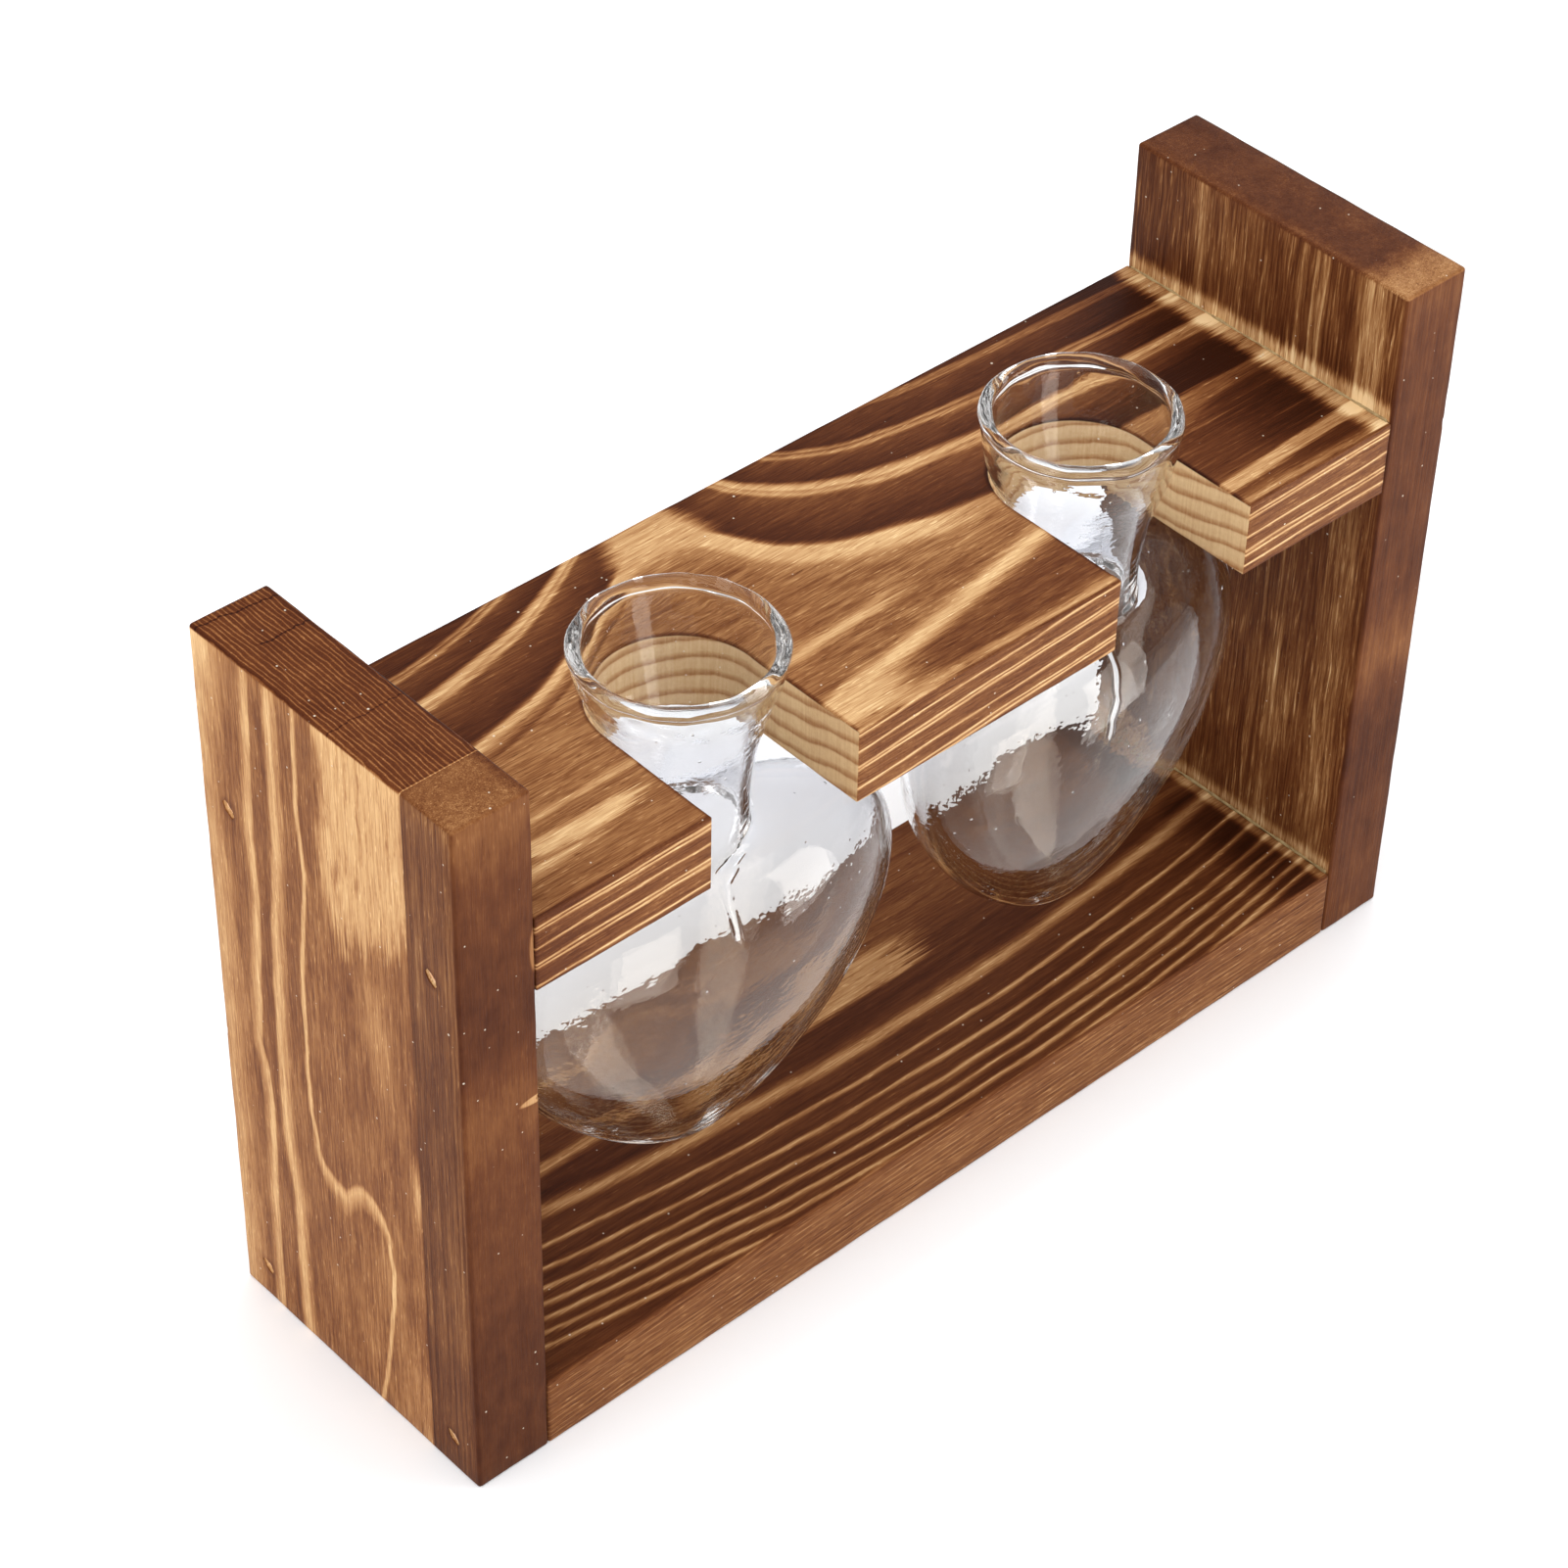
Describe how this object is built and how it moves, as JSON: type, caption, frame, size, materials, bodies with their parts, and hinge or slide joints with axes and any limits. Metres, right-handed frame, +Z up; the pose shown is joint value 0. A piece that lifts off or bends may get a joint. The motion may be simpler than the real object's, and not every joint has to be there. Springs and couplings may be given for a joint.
{
  "type": "glass vase with wooden frame",
  "caption": "Torched softwood stand with a slotted shelf that holds flattened glass flasks by their flared necks, for cuttings in water.",
  "frame": {"origin": "middle of the stand's underside, on the surface that it stands on", "axes": "+X along the shelf to the right seen from the front, +Y from the open front of the slots to the back, +Z up"},
  "size_m": [0.222, 0.064, 0.1465],
  "materials": {
    "burnt_softwood": "torched and brushed softwood, satin oil",
    "honey_softwood": "lightly torched and brushed softwood, satin oil",
    "brad_steel": "bare wire",
    "clear_glass": "clear blown glass, fire polished"
  },
  "bodies": {
    "stand": {"left_panel_rear_stave": "honey_softwood", "left_panel_front_stave": "burnt_softwood", "right_panel": "burnt_softwood", "shelf": "honey_softwood", "base_board": "burnt_softwood", "left_shelf_nails": "brad_steel", "left_base_nails": "brad_steel", "right_shelf_nails": "brad_steel", "right_base_nails": "brad_steel"},
    "left_flask": {"left_vase": "clear_glass"},
    "right_flask": {"right_vase": "clear_glass"}
  },
  "joints": [
    {"name": "left_flask_slide", "type": "slide", "parent": "stand", "child": "left_flask", "axis": [0, -1, 0], "range_m": [0, 0.1]},
    {"name": "right_flask_slide", "type": "slide", "parent": "stand", "child": "right_flask", "axis": [0, -1, 0], "range_m": [0, 0.1]}
  ]
}
